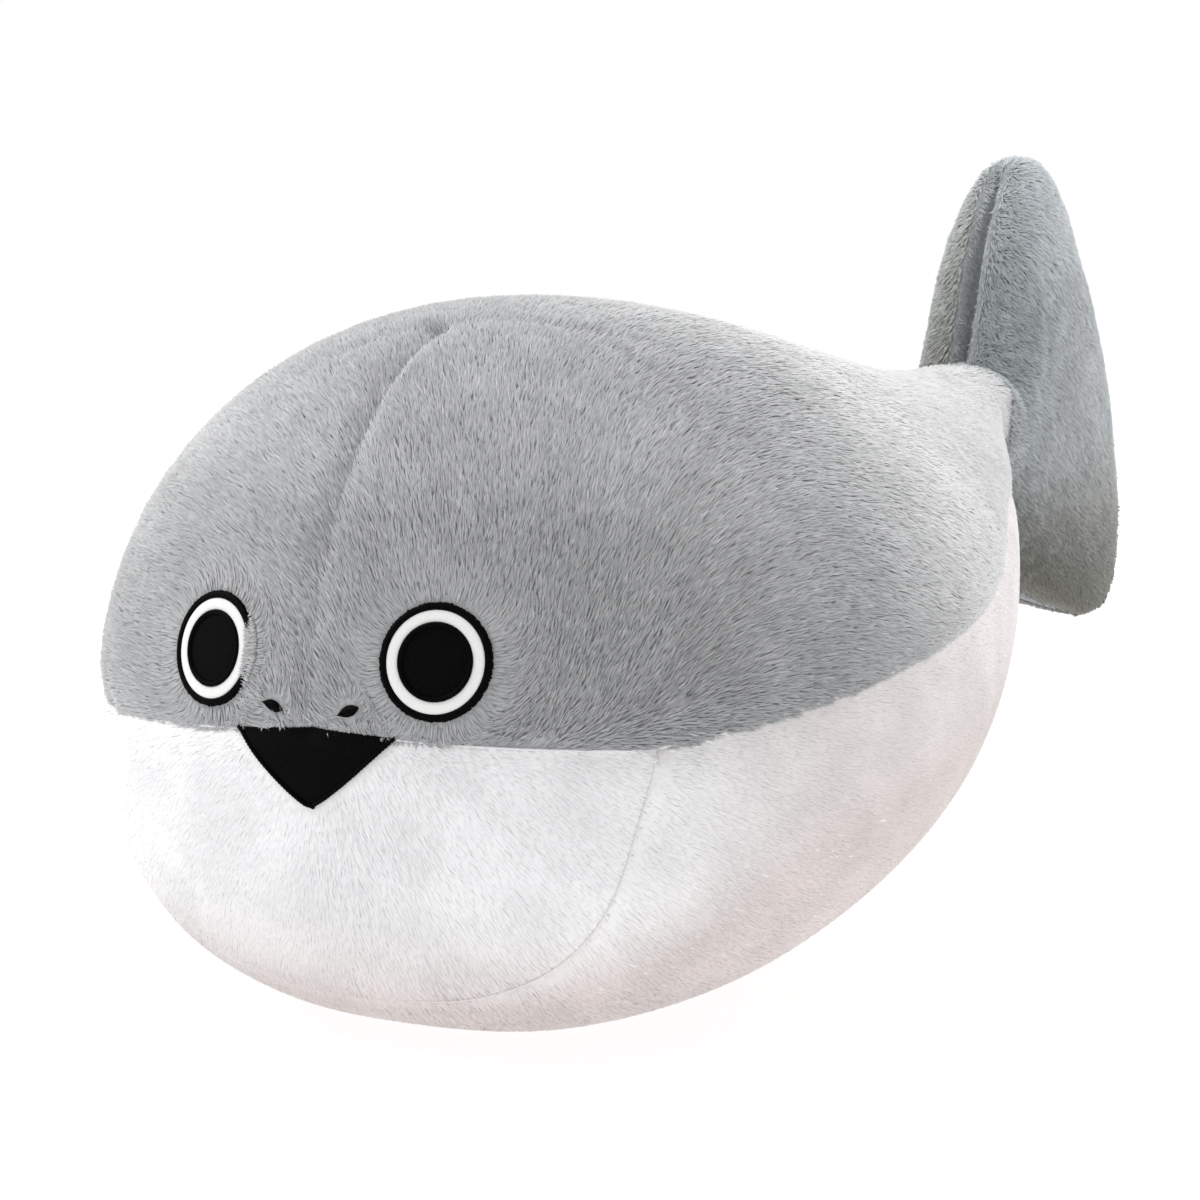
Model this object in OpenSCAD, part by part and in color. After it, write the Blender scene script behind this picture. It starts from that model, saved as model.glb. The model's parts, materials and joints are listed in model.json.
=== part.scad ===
// Stuffed plush fish with a blunt rounded body, a flat resting patch and a tall tail fin.
// Millimetres, +Z up. The nose looks along -Y, the fish's left side is +X, the floor is z = 0.
// Shapes are worked out about a spine frame whose Y runs along the body, then placed on the floor.

/* [Body size] */
// Length from the nose to the pole where the body would close
body_length = 417.7; // [380:0.1:460]
// Half of the widest width
half_width = 132.5; // [120:0.5:145]
// Height of the back above the spine line
back_height = 115.9; // [105:0.1:125]
// Depth of the belly below the spine line
belly_depth = 84.8; // [75:0.1:95]
// Depth of the resting patch below the spine frame's origin
floor_depth = 107; // [100:0.5:112]

/* [Body shape] */
// How far forward the widest place sits, and how slowly the width tapers behind it
width_swell = 0.472; // [0.3:0.001:0.7]
width_taper = 1.309; // [0.8:0.001:1.6]
// The same two for the back
back_swell = 0.755; // [0.5:0.001:0.9]
back_taper = 1.095; // [0.8:0.001:1.6]
// The same two for the belly
belly_swell = 0.748; // [0.5:0.001:0.9]
belly_taper = 0.4; // [0.3:0.001:1]
// Rise of the spine line per unit of length, and its upward bow
spine_slope = 0.188; // [0.1:0.001:0.25]
spine_bow = 0.03; // [0:0.001:0.08]
// Squareness of the cross-section above and below the spine, 2 is an ellipse
back_squareness = 2; // [2:0.01:2.5]
belly_squareness = 2.4; // [2:0.01:3]
// Half width, half height above and half height below the spine of the stub that carries the tail
stub_half_width = 27; // [22:0.5:30]
stub_top = 11; // [5:0.5:12]
stub_bottom = 38; // [30:0.5:44]

/* [Resting patch] */
// Half width of the flat strip under the belly
patch_half_width = 38; // [30:1:45]
// Front and rear ends of the strip in the spine frame
patch_front = -155; // [-165:1:-140]
patch_rear = -15; // [-30:1:0]

/* [Cloth] */
// Thickness of the pile cloth panels
cloth = 3.6; // [2.5:0.1:5]
// Gap between a panel and the stuffing inside it
stuffing_gap = 1; // [0.6:0.1:2]
// Half of the gap left along each seam
seam_half_gap = 1.2; // [1:0.1:2]
// Radius of the seam threads
thread_radius = 0.8; // [0.5:0.1:0.9]

/* [Seams] */
// Angle from the nose pole to where the crown seam meets the colour seam
junction_angle = 30.5; // [28:0.5:33]
// Height of the colour seam above the spine, as an angle, at the nose, side and rear
seam_rise_nose = 5.8; // [4:0.1:7]
seam_rise_side = 7.6; // [6:0.1:9]
seam_rise_rear = 14; // [10:0.5:16]
// Angle by which the seam comes back down around the body on its way to the tail root
seam_rear_drop = 42; // [30:1:48]
// Angle from the nose pole to the crown seam at the top and under the chin
crown_angle = 47.5; // [44:0.5:50]
chin_angle = 26.8; // [25:0.1:29]

/* [Face] */
// Angle from the nose pole to the eyes and their height around the body
eye_pole_angle = 15.9; // [14:0.1:18]
eye_height_angle = 46; // [40:0.5:52]
// Outer diameters of the stitched eye rim, the white ring and the pupil
eye_rim_d = 31.8; // [28:0.1:34]
eye_white_d = 27.8; // [24:0.1:30]
eye_pupil_d = 21.2; // [17:0.1:23]
// Width of the satin border of the pupil
pupil_border = 1.3; // [0.8:0.1:2]
// Angle from the nose pole to the nostrils and their height around the body
nostril_pole_angle = 8.25; // [7:0.05:10]
nostril_height_angle = 63.8; // [58:0.1:68]
// Length and width of a nostril
nostril_length = 6.5; // [5:0.1:8]
nostril_width = 3; // [2:0.1:4]
// Half width of the mouth, as an angle to the side seen from above
mouth_angle = 7.7; // [6:0.1:9]

/* [Tail] */
// Place of the line that the tail swings about, in the spine frame
hinge_y = 224.5; // [222:0.5:228]
// Half thickness of the tail at its rounded front
tail_half_thickness = 25; // [22:0.5:27]
// Lowest and highest level of the tail in the spine frame
tail_low = -56; // [-62:1:-50]
tail_high = 129; // [120:1:135]

/* [Hidden] */
half_length = body_length / 2;
end_angle = 161.5;
nose_y = -half_length;
tail_mid = (tail_low + tail_high) / 2;
tail_half_height = (tail_high - tail_low) / 2;
// Front and rear edges of the tail as [level, y], from the lowest level to the highest
tail_front_edge = [
    [-56, 326], [-55, 317], [-49, 292], [-42, 268], [-30, 240], [-15, 218], [-2, 205],
    [8, 200.5], [20, 199.5], [34, 200], [46, 205], [59, 212], [73, 218], [91, 225],
    [108, 235], [120, 245], [126, 252], [129, 264]
];
tail_rear_edge = [
    [-56, 337], [-54, 346], [-49, 354], [-41, 360], [-30, 363.5], [-15, 365], [6, 362],
    [28, 357], [38, 353], [49, 348], [70, 336], [80, 329], [91, 321], [101, 315],
    [111, 307], [121, 297], [126, 287], [129, 274]
];
tail_tip_y = 365;
// How far the mouth's stitching stands out of the nose
mouth_stitch_depth = -1.1;
// The middle of the whole length goes to y = 0 and the resting patch to z = 0
place_y = -(nose_y + mouth_stitch_depth - thread_radius + tail_tip_y) / 2;
pile_light = [0.93, 0.92, 0.94];
pile_grey = [0.62, 0.65, 0.67];
tail_grey = [0.52, 0.55, 0.57];
black_felt = [0.04, 0.04, 0.05];

// ---- Curves and small vector helpers ----

function unit(v) = v / norm(v);
function mix(a, b, t) = a * (1 - t) + b * t;
function logistic(v) = 1 / (1 + exp(-v));
function smooth(t) = let (c = max(0, min(1, t))) c * c * (3 - 2 * c);
// Smooth curve through [key, value] pairs
function slope(p, i) = let (a = max(i - 1, 0), b = min(i + 1, len(p) - 1))
    (p[b][1] - p[a][1]) / (p[b][0] - p[a][0]);
function span(p, key, i = 0) = (i >= len(p) - 2 || key <= p[i + 1][0]) ? i : span(p, key, i + 1);
function curve(p, key) = let (
        i = span(p, key),
        w = p[i + 1][0] - p[i][0],
        t = (key - p[i][0]) / w,
        a = (2 * t * t * t - 3 * t * t + 1) * p[i][1] + (t * t * t - 2 * t * t + t) * w * slope(p, i),
        b = (3 * t * t - 2 * t * t * t) * p[i + 1][1] + (t * t * t - t * t) * w * slope(p, i + 1)
    ) a + b;

// ---- Body surface: a direction from the body's middle gives a point on it ----

// Size of the body at an angle from the nose pole: 1 at the widest place
function bell(angle, swell, taper) = let (w = angle + swell * sin(angle) * 180 / PI, s = sin(w))
    w < 90 ? s : pow(max(s, 0), taper);
function with_stub(size, stub, y) = let (k = smooth((y - 125) / 60))
    pow(pow(size, 4) + k * pow(stub, 4), 0.25);
// Settles the underside onto the flat patch and rounds the patch's edges
function settle(x, y, z, floor_z) = let (
        h = z - floor_z,
        low = h < 16 ? 0 : h * (1 - exp(-pow((h - 16) / 17, 2))),
        across = logistic((patch_half_width - abs(x)) / 9),
        along = logistic((patch_rear - y) / 24) * logistic((y - patch_front) / 8),
        w = min(1, 1.2 * across * along)
    ) floor_z + h * (1 - w) + low * w;
// Point of the surface moved inwards by depth
function body_point(d, depth = 0) = let (
        angle = acos(max(-1, min(1, -d[1]))),
        turn = atan2(d[2], d[0]),
        y = -(half_length - depth) * cos(angle),
        across = with_stub((half_width - depth) * bell(angle, width_swell, width_taper),
            stub_half_width - depth, y),
        up = with_stub((back_height - depth) * bell(angle, back_swell, back_taper),
            stub_top - depth / 2, y),
        down = with_stub((belly_depth - depth) * bell(angle, belly_swell, belly_taper),
            stub_bottom - depth, y),
        n = sin(turn) >= 0 ? back_squareness : belly_squareness,
        k = pow(pow(abs(cos(turn)), n) + pow(abs(sin(turn)), n), -1 / n),
        spine = spine_slope * y + spine_bow * half_length * pow(cos(angle), 2),
        x = across * cos(turn) * k,
        z = spine + (sin(turn) >= 0 ? up : down) * sin(turn) * k
    ) [x, y, settle(x, y, z, depth - floor_depth)];
function direction(angle, turn) = [sin(angle) * cos(turn), -cos(angle), sin(angle) * sin(turn)];
function body_normal(d) = let (
        e = 0.01,
        side = unit(cross(d, [0, 0, 1])),
        over = cross(side, d),
        a = body_point(unit(d + e * side)) - body_point(unit(d - e * side)),
        b = body_point(unit(d + e * over)) - body_point(unit(d - e * over)),
        n = unit(cross(a, b))
    ) n * d < 0 ? -n : n;

// ---- Seam lines on the body ----

// Height around the body of the colour seam behind the junction
function side_turn(angle) = let (y = -half_length * cos(angle))
    seam_rise_side + (seam_rise_rear - seam_rise_side) * logistic((y + 5) / 12)
        - seam_rear_drop * pow(max(0, y - 45) / 153, 1.25);
junction = direction(junction_angle, seam_rise_side);
junction_side = atan2(junction[0], -junction[1]);
junction_rise = asin(junction[2]);
function front_rise(side) = mix(seam_rise_nose, junction_rise, abs(side) / junction_side);
function facing(side, rise) = [sin(side) * cos(rise), -cos(side) * cos(rise), sin(rise)];
// Colour seam across the nose, from v = -1 on the right to v = 1 on the left
function nose_line(v) = facing(v * junction_side, front_rise(v * junction_side));
// Crown seam at a turn around the body, measured on the left side
function crown_line(turn) = let (t = turn > 90 ? 180 - turn : turn < -90 ? -180 - turn : turn)
    t > seam_rise_side
        ? junction_angle + (crown_angle - 3.5 - junction_angle) * (t - seam_rise_side) / (90 - seam_rise_side)
            + 3.5 * exp(-pow((90 - t) / 12, 2))
        : chin_angle + (junction_angle - chin_angle) * exp((t - seam_rise_side) / 15);
function crown_direction(turn) = direction(crown_line(turn), turn);

// ---- Building blocks ----

// Closed shell between two grids of points with the same rows and columns
module shell(outer, inner) {
    rows = len(outer);
    cols = len(outer[0]);
    n = rows * cols;
    last = rows - 1;
    edge = cols - 1;
    points = concat([for (row = outer) each row], [for (row = inner) each row]);
    skin = [for (i = [0 : rows - 2], j = [0 : cols - 2]) let (a = i * cols + j, b = a + cols)
        each [[a, a + 1, b + 1], [a, b + 1, b]]];
    lining = [for (f = skin) [f[2] + n, f[1] + n, f[0] + n]];
    ends = [for (j = [0 : cols - 2]) let (a = j, b = last * cols + j) each [
        [a, a + n, a + n + 1], [a, a + n + 1, a + 1],
        [b, b + 1, b + n + 1], [b, b + n + 1, b + n]]];
    sides = [for (i = [0 : rows - 2]) let (a = i * cols, b = a + edge) each [
        [a, a + cols, a + cols + n], [a, a + cols + n, a + n],
        [b, b + n, b + n + cols], [b, b + n + cols, b + cols]]];
    polyhedron(points, concat(skin, lining, ends, sides), convexity = 6);
}
// Solid through rings of points: ended with two caps, or joined into a loop
module lofted(rings, loop = false) {
    rows = len(rings);
    cols = len(rings[0]);
    points = [for (ring = rings) each ring];
    spans = loop ? rows - 1 : rows - 2;
    skin = [for (i = [0 : spans], j = [0 : cols - 1]) let (
            a = i * cols + j,
            b = i * cols + (j + 1) % cols,
            c = ((i + 1) % rows) * cols + (j + 1) % cols,
            d = ((i + 1) % rows) * cols + j
        ) each [[a, b, c], [a, c, d]]];
    first = [for (j = [cols - 1 : -1 : 0]) j];
    final = [for (j = [0 : cols - 1]) (rows - 1) * cols + j];
    polyhedron(points, loop ? skin : concat(skin, [first, final]), convexity = 6);
}
// Thread along points, with the outward direction at each point
module thread(path, outward, loop = false) {
    last = len(path) - 1;
    lofted([for (i = [0 : last]) let (
            before = loop ? path[(i + last) % (last + 1)] : path[max(i - 1, 0)],
            after = loop ? path[(i + 1) % (last + 1)] : path[min(i + 1, last)],
            along = unit(after - before),
            side = unit(cross(along, outward[i])),
            out = cross(side, along)
        ) [for (a = [300 : -60 : 0]) path[i] + thread_radius * (cos(a) * out + sin(a) * side)]], loop);
}
// Thread sunk into the body's surface along a list of directions
module body_thread(directions, loop = false) {
    thread([for (d = directions) body_point(d, thread_radius)],
        [for (d = directions) body_normal(d)], loop);
}
// Panel over a grid of directions
module panel(grid) {
    shell([for (row = grid) [for (d = row) body_point(d)]],
        [for (row = grid) [for (d = row) body_point(d, cloth)]]);
}
module placed() {
    translate([0, place_y, floor_depth]) children();
}
module mirrored(side) {
    if (side > 0) children();
    else mirror([1, 0, 0]) children();
}
// Flat piece laid on the surface at a direction, turned by roll about the surface's normal
module laid_on(d, lift, roll = 0) {
    p = body_point(d);
    n = body_normal(d);
    translate(p + n * lift)
        rotate([0, acos(n[2]), atan2(n[1], n[0])])
        rotate([0, 0, roll]) children();
}

// ---- Body panels ----

module face_panel(side) {
    rows = 18;
    cols = 16;
    color(pile_grey) placed() mirrored(side)
        panel([for (i = [0 : rows]) let (v = 0.012 + 0.958 * i / rows)
            [for (j = [0 : cols]) let (
                    a = nose_line(v),
                    b = crown_direction(mix(90, seam_rise_side, v)),
                    gap = seam_half_gap / (norm(b - a) * 120),
                    u = mix(gap, 1 - gap, j / cols)
                ) unit(mix(a, b, u))]]);
}
module back_panel() {
    rows = 30;
    cols = 26;
    side_gap = 0.75;
    color(pile_grey) placed()
        panel([for (i = [0 : rows]) [for (j = [0 : cols]) let (
                s = i / rows,
                t = j / cols,
                start = crown_line(mix(seam_rise_side, 180 - seam_rise_side, t)) + 0.5,
                angle = mix(start, end_angle, s),
                low = side_turn(angle) + side_gap * (1 + s * s * 4)
            ) direction(angle, mix(low, 180 - low, t))]]);
}
module chin_panel() {
    rows = 30;
    cols = 10;
    color(pile_light) placed()
        panel([for (i = [0 : rows]) let (v = -0.97 + 1.94 * i / rows)
            [for (j = [0 : cols]) let (
                    a = nose_line(-v),
                    b = crown_direction(v < 0 ? mix(-90, seam_rise_side, -v) : mix(-90, -187.6, v)),
                    gap = seam_half_gap / (norm(b - a) * 120),
                    u = mix(gap, 1 - gap, j / cols)
                ) unit(mix(a, b, u))]]);
}
module belly_panel() {
    rows = 32;
    cols = 30;
    side_gap = 0.75;
    color(pile_light) placed()
        panel([for (i = [0 : rows]) [for (j = [0 : cols]) let (
                s = i / rows,
                t = j / cols,
                start = crown_line(mix(seam_rise_side, -180 - seam_rise_side, t)) + 0.5,
                angle = mix(start, end_angle, s),
                high = side_turn(angle) - side_gap * (1 + s * s * 4)
            ) direction(angle, mix(-180 - high, high, t))]]);
}
module body_stuffing() {
    rows = 36;
    cols = 32;
    depth = cloth + stuffing_gap;
    color("white") placed()
        lofted([for (i = [0 : rows]) let (angle = mix(3, end_angle - 3.2, i / rows))
            [for (j = [0 : cols - 1]) body_point(direction(angle, 360 * j / cols), depth)]]);
}

// ---- Seam threads ----

module forehead_seam() {
    top = crown_direction(90);
    low = nose_line(0);
    color(pile_grey * 0.8) placed()
        body_thread([for (i = [0 : 24]) unit(mix(low, top, mix(0.02, 0.985, i / 24)))]);
}
module crown_seam() {
    steps = 72;
    color(pile_grey * 0.8) placed()
        body_thread([for (i = [0 : steps - 1]) let (t = 180 - 360 * (i + 0.5) / steps)
            crown_direction(t)], loop = true);
}
module colour_seam() {
    rear = [for (i = [0 : 30]) let (angle = mix(junction_angle, end_angle, i / 30))
        direction(angle, side_turn(angle))];
    front = [for (i = [1 : 17]) nose_line(-1 + 2 * i / 18)];
    color("white") placed()
        body_thread(concat([for (i = [30 : -1 : 0]) [-rear[i][0], rear[i][1], rear[i][2]]],
            front, rear));
}
module tail_root_seam() {
    steps = 40;
    ring = [for (i = [0 : steps - 1]) direction(end_angle, -360 * i / steps)];
    color(pile_grey * 0.8) placed()
        thread([for (d = ring) body_point(d, cloth + 1.8) + [0, -1.4, 0]],
            [for (d = ring) [d[0], 0, d[2]]], loop = true);
}

// ---- Eyes, nostrils and mouth ----

eye_direction = direction(eye_pole_angle, eye_height_angle);
module eye_ring(side, outer_d, inner_d, thick) {
    placed() mirrored(side) laid_on(eye_direction, 0.2) difference() {
        cylinder(h = thick, d = outer_d, $fn = 96);
        translate([0, 0, -1]) cylinder(h = thick + 2, d = inner_d, $fn = 96);
    }
}
module eye_rim(side) {
    color(black_felt) eye_ring(side, eye_rim_d, eye_white_d + 0.1, 1.2);
}
module eye_white(side) {
    color("white") eye_ring(side, eye_white_d, eye_pupil_d + 0.1, 1);
}
module pupil_border_ring(side) {
    color(black_felt) eye_ring(side, eye_pupil_d, eye_pupil_d - 2 * pupil_border + 0.1, 1.5);
}
module eye_pupil(side) {
    color(black_felt) placed() mirrored(side) laid_on(eye_direction, 0.2)
        cylinder(h = 1.2, d = eye_pupil_d - 2 * pupil_border, $fn = 96);
}
// Almond: the overlap of two equal circles
module almond(length, width) {
    r = (length * length / 4 + width * width / 4) / width;
    intersection() {
        translate([0, r - width / 2]) circle(r, $fn = 64);
        translate([0, width / 2 - r]) circle(r, $fn = 64);
    }
}
module nostril(side) {
    color(black_felt) placed() mirrored(side)
        laid_on(direction(nostril_pole_angle, nostril_height_angle), 0.1, 110)
        linear_extrude(0.9) almond(nostril_length, nostril_width);
}
// Direction inside the mouth: across from -1 to 1, down from 0 at the seam to 1 at the point
function mouth_direction(across, down, shrink = 1) = let (
        side = across * mouth_angle,
        top = front_rise(side) - 0.5,
        point = top * pow(abs(across), 1.25)
    ) facing(side * shrink, mix(top * 0.5, mix(top, point, down), shrink));
function mouth_grid(depth, shrink) = [for (i = [0 : 24]) [for (j = [0 : 8])
    body_point(mouth_direction(mix(-0.975, 0.975, i / 24), 1 - j / 8, shrink), depth)]];
module mouth_patch() {
    color(black_felt) placed() shell(mouth_grid(-1.2, 0.86), mouth_grid(-0.25, 0.86));
}
module mouth_edging() {
    rim = concat(
        [for (i = [0 : 16]) mouth_direction(mix(-0.97, 0.97, i / 16), 0.02, 0.98)],
        [for (i = [0 : 15]) mouth_direction(mix(0.96, -0.96, i / 15), 1, 1)]);
    color(black_felt) placed()
        thread([for (d = rim) body_point(d, mouth_stitch_depth)], [for (d = rim) body_normal(d)], loop = true);
}

// ---- Tail ----

tail_wall = 3;
tail_mid_gap = 1;
function tail_level(a) = tail_mid + tail_half_height * sin(a);
// Half thickness of the padding beyond the two cloth walls, at a distance behind the front edge
function tail_swell(z, back, chord) = let (
        u = (z - tail_mid) / tail_half_height,
        r = (tail_half_thickness - tail_wall - tail_mid_gap) * sqrt(max(0, 1 - pow(abs(u), 2.2))),
        nose = min(r, chord / 2),
        t = (back - nose) / (chord - nose)
    ) back < nose ? r * sqrt(max(0, 1 - pow(1 - back / nose, 2))) : r * pow(max(0, cos(90 * t)), 0.8);
function tail_point(a, b, inset) = let (
        z = tail_level(a),
        front = curve(tail_front_edge, z),
        chord = curve(tail_rear_edge, z) - front,
        back = chord * (1 - cos(b)) / 2
    ) [tail_swell(z, back, chord) + tail_wall + tail_mid_gap - inset, front + back, z];
function tail_grid(inset, rows, cols, top, first) = [for (i = [0 : rows]) [for (j = [0 : cols])
    tail_point(mix(-top, top, i / rows), mix(first, 180 - first, j / cols), inset)]];
module tail_panel(side) {
    color(tail_grey) placed() mirrored(side)
        shell([for (row = tail_grid(0, 26, 18, 88, 0)) [for (k = [18 : -1 : 0]) row[k]]],
            [for (row = tail_grid(tail_wall, 26, 18, 88, 0)) [for (k = [18 : -1 : 0]) row[k]]]);
}
module tail_stuffing() {
    gap = tail_wall + 0.9;
    left = tail_grid(gap, 20, 14, 66, 28);
    color("white") placed()
        shell([for (row = left) [for (k = [14 : -1 : 0]) row[k]]],
            [for (row = left) [for (k = [14 : -1 : 0]) [-row[k][0], row[k][1], row[k][2]]]]);
}
module tail_edge_seam() {
    sink = thread_radius + 0.1;
    front = [for (a = [-88 : 4 : 88]) [0, curve(tail_front_edge, tail_level(a)) + sink, tail_level(a)]];
    rear = [for (a = [88 : -4 : -88]) [0, curve(tail_rear_edge, tail_level(a)) - sink, tail_level(a)]];
    path = concat(front, rear);
    color(tail_grey * 0.85) placed() thread(path, [for (p = path) [1, 0, 0]], loop = true);
}

face_panel(1);  // face_panel_left
face_panel(-1);  // face_panel_right
back_panel();
chin_panel();
belly_panel();
body_stuffing();
forehead_seam();
crown_seam();
colour_seam();
tail_root_seam();
eye_rim(1);  // eye_rim_left
eye_rim(-1);  // eye_rim_right
eye_white(1);  // eye_white_left
eye_white(-1);  // eye_white_right
eye_pupil(1);  // eye_pupil_left
eye_pupil(-1);  // eye_pupil_right
pupil_border_ring(1);  // pupil_border_left
pupil_border_ring(-1);  // pupil_border_right
nostril(1);  // nostril_left
nostril(-1);  // nostril_right
mouth_patch();
mouth_edging();
tail_panel(1);  // tail_panel_left
tail_panel(-1);  // tail_panel_right
tail_stuffing();
tail_edge_seam();
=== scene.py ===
import json
import math

import bpy
import numpy as np
from mathutils import Matrix, Vector


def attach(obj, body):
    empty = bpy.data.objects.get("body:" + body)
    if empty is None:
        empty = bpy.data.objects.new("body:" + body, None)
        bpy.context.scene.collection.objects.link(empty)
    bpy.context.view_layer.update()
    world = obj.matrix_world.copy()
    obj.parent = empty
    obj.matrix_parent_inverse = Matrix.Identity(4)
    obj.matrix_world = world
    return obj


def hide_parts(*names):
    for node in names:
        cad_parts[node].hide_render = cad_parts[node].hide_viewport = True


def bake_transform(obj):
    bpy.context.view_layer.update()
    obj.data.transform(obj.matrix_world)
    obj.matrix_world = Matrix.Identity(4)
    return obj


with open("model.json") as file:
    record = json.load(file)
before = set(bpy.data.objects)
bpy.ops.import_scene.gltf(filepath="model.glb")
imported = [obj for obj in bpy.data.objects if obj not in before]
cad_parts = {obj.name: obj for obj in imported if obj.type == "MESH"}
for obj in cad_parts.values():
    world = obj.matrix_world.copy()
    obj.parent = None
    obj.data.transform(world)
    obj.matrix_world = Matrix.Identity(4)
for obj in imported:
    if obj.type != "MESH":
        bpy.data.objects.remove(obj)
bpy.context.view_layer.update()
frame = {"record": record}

# A stuffed plush fish. It is worked out in the CAD model's spine frame, in millimetres, with the
# nose towards -Y, the fish's left towards +X and the body's middle at the origin. A place on the
# body is an angle from the nose's pole and a turn round the spine, from the left side upwards.

# ---- Driving values, in millimetres and degrees, the same as the CAD model's ----

MM = 0.001
HALF_LENGTH = 417.7 / 2
HALF_WIDTH, BACK_HEIGHT, BELLY_DEPTH, FLOOR_DEPTH = 132.5, 115.9, 84.8, 107.0
WIDTH_BELL, BACK_BELL, BELLY_BELL = (0.472, 1.309), (0.755, 1.095), (0.748, 0.4)
SPINE_SLOPE, SPINE_BOW = 0.188, 0.03
BACK_SQUARENESS, BELLY_SQUARENESS = 2.0, 2.4
STUB_WIDTH, STUB_TOP, STUB_BOTTOM = 27.0, 11.0, 38.0
PATCH_HALF_WIDTH, PATCH_FRONT, PATCH_REAR = 38.0, -155.0, -15.0
SETTLE_FLAT, SETTLE_EASE = 16.0, 17.0
JUNCTION_ANGLE, CROWN_ANGLE, CROWN_PEAK, CHIN_ANGLE, END_ANGLE = 30.5, 47.5, 3.5, 26.8, 161.5
RISE_NOSE, RISE_SIDE, RISE_REAR, REAR_DROP = 5.8, 7.6, 14.0, 42.0
EYE_POLE, EYE_TURN = 15.9, 46.0
EYE_RIM_R, EYE_WHITE_R, EYE_PUPIL_R, PUPIL_BORDER = 15.9, 13.9, 10.6, 1.3
NOSTRIL_POLE, NOSTRIL_TURN, NOSTRIL_LENGTH, NOSTRIL_WIDTH = 8.25, 63.8, 6.5, 3.0
MOUTH_ANGLE, MOUTH_BOW = 7.7, 1.25
HINGE_Y, TAIL_HALF_THICKNESS, TAIL_LOW, TAIL_HIGH = 224.5, 25.0, -56.0, 129.0
TAIL_FRONT = np.array([
    (-56, 326), (-55, 317), (-49, 292), (-42, 268), (-30, 240), (-15, 218), (-2, 205),
    (8, 200.5), (20, 199.5), (34, 200), (46, 205), (59, 212), (73, 218), (91, 225),
    (108, 235), (120, 245), (126, 252), (129, 264)], float)
TAIL_REAR = np.array([
    (-56, 337), (-54, 346), (-49, 354), (-41, 360), (-30, 363.5), (-15, 365), (6, 362),
    (28, 357), (38, 353), (49, 348), (70, 336), (80, 329), (91, 321), (101, 315),
    (111, 307), (121, 297), (126, 287), (129, 274)], float)

# The spine frame's origin in the row frame, from the tail's hinge and the floor
JOINT = frame["record"]["behaviour"]["joints"][0]
PLACE = np.array([0.0, JOINT["pos_m"][1] / MM - HINGE_Y, FLOOR_DEPTH])

# Depth of the cloth's face below the CAD surface, where the pile stands up to it
PILE_ROOM = 1.7
BACKING = 1.6  # thickness of the cloth under its pile
STITCH = 1.6  # distance between the points of a sewing thread
WHITE_SHARE = 0.75  # share of the scattered tufts that stay on the white cloth
CREST = 0.16  # height of a tuft's crest over its edges, as a share of its width
FILL_DEPTH, TAIL_FILL_DEPTH = 10.0, 6.7  # depth of the fillings below the CAD surface
RNG = np.random.default_rng(7)


# ---- Shape of the body: a direction from its middle gives a point on it ----

def logistic(v):
    return 1 / (1 + np.exp(-np.clip(v, -50, 50)))


def smooth(t):
    t = np.clip(t, 0, 1)
    return t * t * (3 - 2 * t)


def unit(v):
    return v / np.maximum(np.linalg.norm(v, axis=-1, keepdims=True), 1e-12)


def dot(a, b):
    return (a * b).sum(-1)


def bell(angle, shape):
    """Share of the greatest half size at an angle from the nose's pole."""
    swell, taper = shape
    w = angle + swell * np.sin(angle)
    s = np.sin(w)
    return np.where(w < np.pi / 2, s, np.maximum(s, 0) ** taper)


def with_stub(size, stub, y):
    """Half size of the body's section, kept up towards the tail by a stub of the given size."""
    return (size ** 4 + smooth((y - 125) / 60) * stub ** 4) ** 0.25


def squared_off(turn, n):
    """Factor that turns a circle into a rounder or squarer superellipse of exponent n."""
    return (np.abs(np.cos(turn)) ** n + np.abs(np.sin(turn)) ** n) ** (-1 / n)


def settle(x, y, z, floor_z):
    """Height of a point when the belly's bottom settles flat onto the floor."""
    h = z - floor_z
    low = np.where(h < SETTLE_FLAT, 0, h * (1 - np.exp(-((h - SETTLE_FLAT) / SETTLE_EASE) ** 2)))
    across = logistic((PATCH_HALF_WIDTH - np.abs(x)) / 9)
    along = logistic((PATCH_REAR - y) / 24) * logistic((y - PATCH_FRONT) / 8)
    w = np.minimum(1, 1.2 * across * along)
    return floor_z + h * (1 - w) + low * w


def body_point(d, depth=0.0):
    """Point of the body in a direction, at a depth below the CAD surface."""
    angle = np.arccos(np.clip(-d[..., 1], -1, 1))
    turn = np.arctan2(d[..., 2], d[..., 0])
    y = -(HALF_LENGTH - depth) * np.cos(angle)
    across = with_stub((HALF_WIDTH - depth) * bell(angle, WIDTH_BELL), STUB_WIDTH - depth, y)
    up = with_stub((BACK_HEIGHT - depth) * bell(angle, BACK_BELL), STUB_TOP - depth / 2, y)
    down = with_stub((BELLY_DEPTH - depth) * bell(angle, BELLY_BELL), STUB_BOTTOM - depth, y)
    n = np.where(np.sin(turn) >= 0, BACK_SQUARENESS, BELLY_SQUARENESS)
    k = squared_off(turn, n)
    spine = SPINE_SLOPE * y + SPINE_BOW * HALF_LENGTH * np.cos(angle) ** 2
    x = across * np.cos(turn) * k
    z = spine + np.where(np.sin(turn) >= 0, up, down) * np.sin(turn) * k
    return np.stack([x, y, settle(x, y, z, depth - FLOOR_DEPTH)], -1)


def direction(angle, turn):
    """Unit vector at an angle from the nose's pole and a turn round it, in degrees."""
    a, t = np.radians(angle), np.radians(turn)
    parts = np.broadcast_arrays(np.sin(a) * np.cos(t), -np.cos(a), np.sin(a) * np.sin(t))
    return np.stack(parts, -1)


def angles_of(d):
    angle = np.degrees(np.arccos(np.clip(-d[..., 1], -1, 1)))
    return angle, np.degrees(np.arctan2(d[..., 2], d[..., 0]))


# ---- Seam lines ----

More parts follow.
